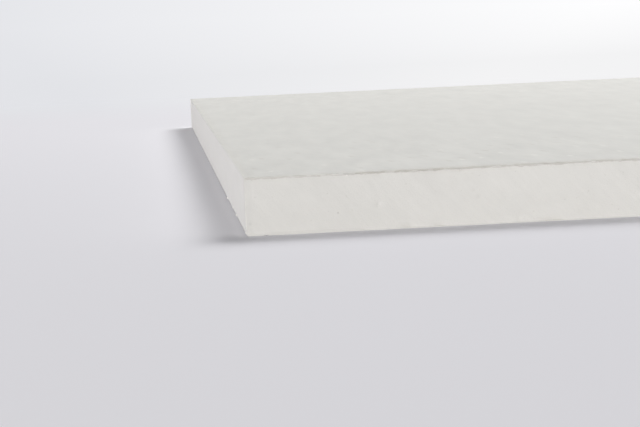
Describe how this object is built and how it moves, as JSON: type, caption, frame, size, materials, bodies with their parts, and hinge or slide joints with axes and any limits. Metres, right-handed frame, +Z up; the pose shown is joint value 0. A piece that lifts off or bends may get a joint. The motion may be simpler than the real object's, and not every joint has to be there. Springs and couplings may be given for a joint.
{
  "type": "drywall sheet",
  "caption": "Square-edge gypsum board panel with a paper-wrapped core, bound edges and two sawn sides.",
  "frame": {"origin": "middle of the underside, where the back paper bears on the floor", "axes": "+X from bound edge to bound edge, +Y from sawn side to sawn side, +Z up through the face"},
  "size_m": [1.2, 0.6, 0.0125],
  "materials": {
    "gypsum": "matte, sawn, finely pored",
    "face_paper": "matte off-white liner",
    "back_paper": "matte grey liner"
  },
  "bodies": {
    "root": {"gypsum_core": "gypsum", "face_paper": "face_paper", "back_paper": "back_paper"}
  },
  "joints": []
}
